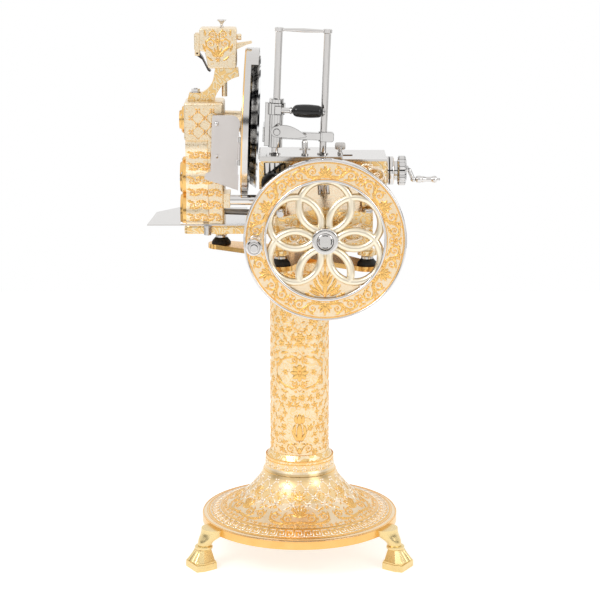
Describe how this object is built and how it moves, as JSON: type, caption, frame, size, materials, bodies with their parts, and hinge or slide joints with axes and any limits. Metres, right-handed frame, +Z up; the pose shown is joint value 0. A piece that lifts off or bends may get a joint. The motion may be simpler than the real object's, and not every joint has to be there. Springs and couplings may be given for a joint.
{
  "type": "meat slicer",
  "caption": "Hand cranked flywheel meat slicer on a column pedestal: round knife, sliding carriage with table and clamp, gear tower, sharpener and tray.",
  "frame": {"origin": "floor level under the middle of the machine's overall outline", "axes": "+Z up, +X to the right of the operator who faces the flywheel, +Y away from the operator"},
  "size_m": [0.7393, 0.6853, 1.3808],
  "materials": {
    "engraved_gold": "pearly champagne ground with warm gold engraving",
    "plain_gold": "polished gold",
    "chrome": "mirror polish",
    "satin_steel": "satin",
    "blade_steel": "ground and polished",
    "dark_steel": "machined",
    "bronze": "machined bronze",
    "black_rubber": "matt",
    "black_plastic": "glossy",
    "brown_plastic": "brown",
    "grey_stone": "fine abrasive"
  },
  "bodies": {
    "stand": {"pedestal_feet": "plain_gold", "pedestal_base": "engraved_gold", "column_collar": "engraved_gold", "pedestal_column": "engraved_gold", "pedestal_top_plate": "plain_gold", "fixing_screws": "chrome", "rubber_feet": "black_rubber", "foot_studs": "chrome", "base_casting": "engraved_gold", "slide_rails": "chrome", "rail_clamps": "chrome", "front_shaft_bush": "bronze", "crank_bearing_block": "dark_steel", "gear_tower": "engraved_gold", "lower_gear_cover": "engraved_gold", "upper_gear_cover": "engraved_gold", "guard_back_plate": "plain_gold", "knife_guard_ring": "chrome", "sharpener_bracket": "plain_gold", "receiving_tray": "chrome", "guide_bar": "chrome"},
    "flywheel": {"flywheel_casting": "engraved_gold", "flywheel_bands": "chrome", "hub_cap": "chrome", "handle_spindle": "chrome", "main_shaft": "dark_steel", "main_bevel_gear": "dark_steel", "crank_pinion": "dark_steel"},
    "wheel_grip": {"wheel_handle_grip": "chrome"},
    "cross_shaft": {"cross_shaft": "dark_steel", "cross_bevel_pinion": "dark_steel", "tower_drive_gear": "dark_steel"},
    "idler_lower": {"idler_gear_lower": "dark_steel"},
    "idler_upper": {"idler_gear_upper": "dark_steel"},
    "knife": {"knife_pinion": "dark_steel", "knife_shaft": "dark_steel", "knife_blade": "blade_steel", "knife_clamp_disc": "chrome"},
    "crank": {"crank_gear": "dark_steel"},
    "carriage": {"carriage_body": "engraved_gold", "carriage_bearings": "dark_steel", "carriage_top_plate": "chrome", "drive_pin": "chrome"},
    "connecting_rod": {"connecting_rod": "dark_steel"},
    "table": {"table_plate": "chrome", "feed_nut": "bronze", "holder_posts": "chrome"},
    "feed_crank": {"feed_screw": "dark_steel", "feed_handwheel": "chrome"},
    "feed_grip": {"feed_grip": "chrome"},
    "clamp": {"clamp_bar": "chrome", "clamp_jaw": "satin_steel"},
    "clamp_grip": {"clamp_grip": "black_plastic"},
    "clamp_lever": {"clamp_lever": "chrome"},
    "thickness_knob": {"thickness_knob": "black_plastic"},
    "deflector": {"slice_deflector": "satin_steel"},
    "sharpener_head": {"sharpener_head": "engraved_gold", "sharpener_stones": "grey_stone"},
    "sharpener_knob": {"sharpener_knob": "chrome"},
    "sharpener_flap": {"sharpener_flap": "brown_plastic"}
  },
  "joints": [
    {"name": "flywheel_turn", "type": "hinge", "parent": "stand", "child": "flywheel", "pos_m": [0.083, -0.229, 0.876], "axis": [0, 1, 0], "continuous": true},
    {"name": "wheel_grip_spin", "type": "hinge", "parent": "flywheel", "child": "wheel_grip", "pos_m": [-0.087, -0.29, 0.876], "axis": [0, 1, 0], "continuous": true},
    {"name": "cross_shaft_turn", "type": "hinge", "parent": "stand", "child": "cross_shaft", "pos_m": [-0.07888, 0.116, 0.88222], "axis": [0.9993, 0, -0.0384], "continuous": true},
    {"name": "idler_lower_turn", "type": "hinge", "parent": "stand", "child": "idler_lower", "pos_m": [-0.25141, 0.116, 0.97591], "axis": [0.9993, 0, -0.0384], "continuous": true},
    {"name": "idler_upper_turn", "type": "hinge", "parent": "stand", "child": "idler_upper", "pos_m": [-0.24819, 0.116, 1.05985], "axis": [0.9993, 0, -0.0384], "continuous": true},
    {"name": "knife_turn", "type": "hinge", "parent": "stand", "child": "knife", "pos_m": [-0.10481, 0.116, 1.11889], "axis": [0.9993, 0, -0.0384], "continuous": true},
    {"name": "crank_turn", "type": "hinge", "parent": "stand", "child": "crank", "pos_m": [0.083, 0, 0.9], "axis": [0, 0, 1], "continuous": true},
    {"name": "carriage_travel", "type": "slide", "parent": "stand", "child": "carriage", "axis": [0, 1, 0], "range_m": [0, 0.13]},
    {"name": "connecting_rod_swing", "type": "hinge", "parent": "carriage", "child": "connecting_rod", "pos_m": [0.083, 0.045, 0.911], "axis": [0, 0, 1], "range_deg": [-36, 36]},
    {"name": "feed_crank_turn", "type": "hinge", "parent": "carriage", "child": "feed_crank", "pos_m": [0.251, -0.08, 1.023], "axis": [1, 0, 0], "range_deg": [0, 2880]},
    {"name": "table_feed", "type": "slide", "parent": "carriage", "child": "table", "axis": [1, 0, 0], "range_m": [0, 0.0961]},
    {"name": "feed_grip_spin", "type": "hinge", "parent": "feed_crank", "child": "feed_grip", "pos_m": [0.341, -0.08, 1.001], "axis": [1, 0, 0], "continuous": true},
    {"name": "clamp_slide", "type": "slide", "parent": "table", "child": "clamp", "axis": [0.0384, 0, 0.9993], "range_m": [-0.01, 0.15]},
    {"name": "clamp_grip_spin", "type": "hinge", "parent": "clamp", "child": "clamp_grip", "pos_m": [-0.00226, -0.123, 1.17763], "axis": [0.9993, 0, -0.0384], "continuous": true},
    {"name": "clamp_lever_turn", "type": "hinge", "parent": "clamp", "child": "clamp_lever", "pos_m": [-0.03474, -0.1323, 1.12684], "axis": [0, -1, 0], "range_deg": [-25, 20]},
    {"name": "thickness_knob_turn", "type": "hinge", "parent": "carriage", "child": "thickness_knob", "pos_m": [-0.046, -0.158, 1.003], "axis": [0, -1, 0], "range_deg": [0, 300]},
    {"name": "deflector_swing", "type": "hinge", "parent": "stand", "child": "deflector", "pos_m": [-0.13181, 0.034, 1.05438], "axis": [0.0384, 0, 0.9993], "range_deg": [0, 70]},
    {"name": "sharpener_swing", "type": "hinge", "parent": "stand", "child": "sharpener_head", "pos_m": [-0.171, 0.116, 1.25], "axis": [0, 0, 1], "range_deg": [0, 90]},
    {"name": "sharpener_knob_spin", "type": "hinge", "parent": "sharpener_head", "child": "sharpener_knob", "pos_m": [-0.177, 0.116, 1.372], "axis": [0, 0, 1], "continuous": true},
    {"name": "sharpener_flap_lift", "type": "hinge", "parent": "sharpener_head", "child": "sharpener_flap", "pos_m": [-0.239, 0.116, 1.296], "axis": [0, 1, 0], "range_deg": [0, 25]}
  ],
  "couplings": [
    {"joint": "cross_shaft_turn", "follows": "flywheel_turn", "ratio": -2},
    {"joint": "idler_lower_turn", "follows": "flywheel_turn", "ratio": 2.1429},
    {"joint": "idler_upper_turn", "follows": "flywheel_turn", "ratio": -2.1429},
    {"joint": "knife_turn", "follows": "flywheel_turn", "ratio": 4},
    {"joint": "crank_turn", "follows": "flywheel_turn", "ratio": 0.5},
    {"joint": "table_feed", "follows": "feed_crank_turn", "m_per_rad": 0.0019098}
  ]
}
